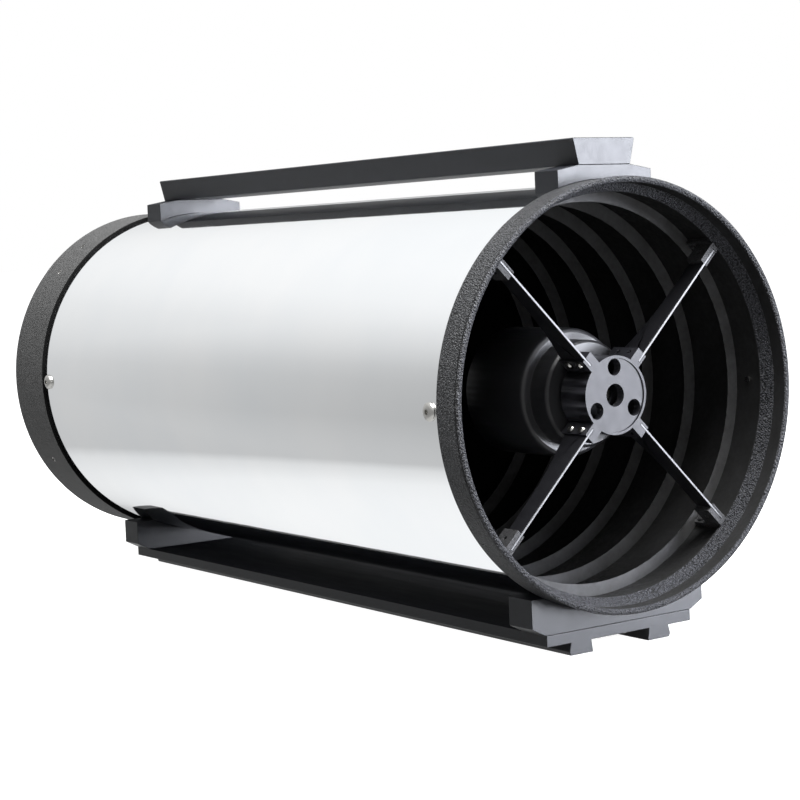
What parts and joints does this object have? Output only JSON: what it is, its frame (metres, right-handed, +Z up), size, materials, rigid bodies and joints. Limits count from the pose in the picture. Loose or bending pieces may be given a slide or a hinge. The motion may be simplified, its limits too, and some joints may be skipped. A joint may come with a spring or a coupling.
{
  "type": "cassegrain telescope tube",
  "caption": "Cassegrain telescope tube with polished steel barrel, four-vane spider, two dovetail rails and a rear two-inch focuser.",
  "frame": {"origin": "under the middle of the whole length, on the plane of the bottom rail's feet", "axes": "+Y along the optical axis from the sky end to the eyepiece end, +Z up, +X to the right seen from the sky end"},
  "size_m": [0.2398, 0.636, 0.2823],
  "materials": {
    "crinkle_black": "crinkle powder coat",
    "polished_steel": "mirror polished",
    "cell_black": "fine matt powder coat",
    "stainless": "bright machined",
    "baffle_black": "dead matt black",
    "hub_black": "satin black anodised",
    "vane_black": "matt black",
    "bracket_black": "dull black paint",
    "satin_black": "satin black anodised",
    "mirror_glass": "polished first-surface mirror",
    "cork": "cork",
    "rubber_black": "matt rubber",
    "rail_anodised": "bead-blasted black anodised",
    "focuser_black": "satin black anodised",
    "drawtube_silver": "ground and polished",
    "fine_knob_gold": "gold anodised",
    "brass": "turned brass"
  },
  "bodies": {
    "root": {"front_ring": "crinkle_black", "main_tube": "polished_steel", "rear_cell": "cell_black", "tube_screws": "stainless", "cell_set_screws": "stainless", "baffle_1": "baffle_black", "baffle_2": "baffle_black", "baffle_3": "baffle_black", "baffle_4": "baffle_black", "baffle_5": "baffle_black", "baffle_6": "baffle_black", "spider_hub": "hub_black", "hub_back_plate": "hub_black", "spider_vane_1": "vane_black", "spider_vane_2": "vane_black", "spider_vane_3": "vane_black", "spider_vane_4": "vane_black", "vane_screws": "stainless", "vane_brackets": "bracket_black", "bracket_screws": "bracket_black", "secondary_cell": "satin_black", "secondary_mirror": "mirror_glass", "secondary_retainer": "baffle_black", "secondary_centre_bolt": "stainless", "primary_mirror": "mirror_glass", "primary_cell": "satin_black", "mirror_pads": "cork", "primary_retainer": "baffle_black", "primary_baffle_tube": "baffle_black", "collimation_bushes": "rubber_black", "top_dovetail_bar": "rail_anodised", "top_saddle_front": "rail_anodised", "top_saddle_rear": "rail_anodised", "top_bar_screws": "stainless", "bottom_dovetail_plate": "rail_anodised", "bottom_saddle_front": "rail_anodised", "bottom_saddle_rear": "rail_anodised", "bottom_plate_screws": "stainless", "focuser_flange": "focuser_black", "focuser_body": "focuser_black"},
    "drawtube": {"focuser_drawtube": "drawtube_silver", "eyepiece_holder": "focuser_black", "compression_ring": "brass"},
    "focus_shaft": {"focus_shaft": "stainless", "coarse_knob_left": "focuser_black", "coarse_knob_right": "focuser_black"},
    "fine_knob": {"fine_knob": "fine_knob_gold"},
    "eyepiece_screw_1": {"eyepiece_screw_1": "stainless"},
    "eyepiece_screw_2": {"eyepiece_screw_2": "stainless"},
    "focus_tension_screw": {"focus_tension_screw": "stainless"},
    "focus_lock_screw": {"focus_lock_screw": "stainless"},
    "secondary_screw_1": {"secondary_screw_1": "stainless"},
    "primary_screw_1": {"primary_screw_1": "stainless"},
    "lock_screw_1": {"lock_screw_1": "stainless"},
    "secondary_screw_2": {"secondary_screw_2": "stainless"},
    "primary_screw_2": {"primary_screw_2": "stainless"},
    "lock_screw_2": {"lock_screw_2": "stainless"},
    "secondary_screw_3": {"secondary_screw_3": "stainless"},
    "primary_screw_3": {"primary_screw_3": "stainless"},
    "lock_screw_3": {"lock_screw_3": "stainless"}
  },
  "joints": [
    {"name": "focus_travel", "type": "slide", "parent": "root", "child": "drawtube", "axis": [0, 1, 0], "range_m": [0, 0.045]},
    {"name": "focus_shaft_turn", "type": "hinge", "parent": "root", "child": "focus_shaft", "pos_m": [0, 0.268, 0.10917], "axis": [-1, 0, 0], "range_deg": [0, 860]},
    {"name": "fine_knob_turn", "type": "hinge", "parent": "root", "child": "fine_knob", "pos_m": [0.059, 0.268, 0.10917], "axis": [-1, 0, 0], "range_deg": [0, 8600]},
    {"name": "eyepiece_screw_1_turn", "type": "hinge", "parent": "drawtube", "child": "eyepiece_screw_1", "pos_m": [0.017, 0.308, 0.17014], "axis": [0.5, 0, 0.866], "range_deg": [0, 540]},
    {"name": "eyepiece_screw_2_turn", "type": "hinge", "parent": "drawtube", "child": "eyepiece_screw_2", "pos_m": [-0.017, 0.308, 0.17014], "axis": [-0.5, 0, 0.866], "range_deg": [0, 540]},
    {"name": "focus_tension_turn", "type": "hinge", "parent": "root", "child": "focus_tension_screw", "pos_m": [0, 0.268, 0.0932], "axis": [0, 0, -1], "range_deg": [0, 360]},
    {"name": "focus_lock_turn", "type": "hinge", "parent": "root", "child": "focus_lock_screw", "pos_m": [0, 0.2565, 0.0932], "axis": [0, 0, -1], "range_deg": [0, 360]},
    {"name": "secondary_screw_1_turn", "type": "hinge", "parent": "root", "child": "secondary_screw_1", "pos_m": [0, -0.2885, 0.1563], "axis": [0, -1, 0], "range_deg": [-180, 180]},
    {"name": "primary_screw_1_turn", "type": "hinge", "parent": "root", "child": "primary_screw_1", "pos_m": [0, 0.2349, 0.2327], "axis": [0, 1, 0], "range_deg": [-360, 360]},
    {"name": "lock_screw_1_turn", "type": "hinge", "parent": "root", "child": "lock_screw_1", "pos_m": [-0.01439, 0.2349, 0.23157], "axis": [0, 1, 0], "range_deg": [0, 360]},
    {"name": "secondary_screw_2_turn", "type": "hinge", "parent": "root", "child": "secondary_screw_2", "pos_m": [-0.01351, -0.2885, 0.1329], "axis": [0, -1, 0], "range_deg": [-180, 180]},
    {"name": "primary_screw_2_turn", "type": "hinge", "parent": "root", "child": "primary_screw_2", "pos_m": [-0.07967, 0.2349, 0.0947], "axis": [0, 1, 0], "range_deg": [-360, 360]},
    {"name": "lock_screw_2_turn", "type": "hinge", "parent": "root", "child": "lock_screw_2", "pos_m": [-0.0715, 0.2349, 0.0828], "axis": [0, 1, 0], "range_deg": [0, 360]},
    {"name": "secondary_screw_3_turn", "type": "hinge", "parent": "root", "child": "secondary_screw_3", "pos_m": [0.01351, -0.2885, 0.1329], "axis": [0, -1, 0], "range_deg": [-180, 180]},
    {"name": "primary_screw_3_turn", "type": "hinge", "parent": "root", "child": "primary_screw_3", "pos_m": [0.07967, 0.2349, 0.0947], "axis": [0, 1, 0], "range_deg": [-360, 360]},
    {"name": "lock_screw_3_turn", "type": "hinge", "parent": "root", "child": "lock_screw_3", "pos_m": [0.08589, 0.2349, 0.10773], "axis": [0, 1, 0], "range_deg": [0, 360]}
  ],
  "couplings": [
    {"joint": "focus_shaft_turn", "follows": "focus_travel", "rad_per_m": 333.3},
    {"joint": "fine_knob_turn", "follows": "focus_travel", "rad_per_m": 3333}
  ]
}
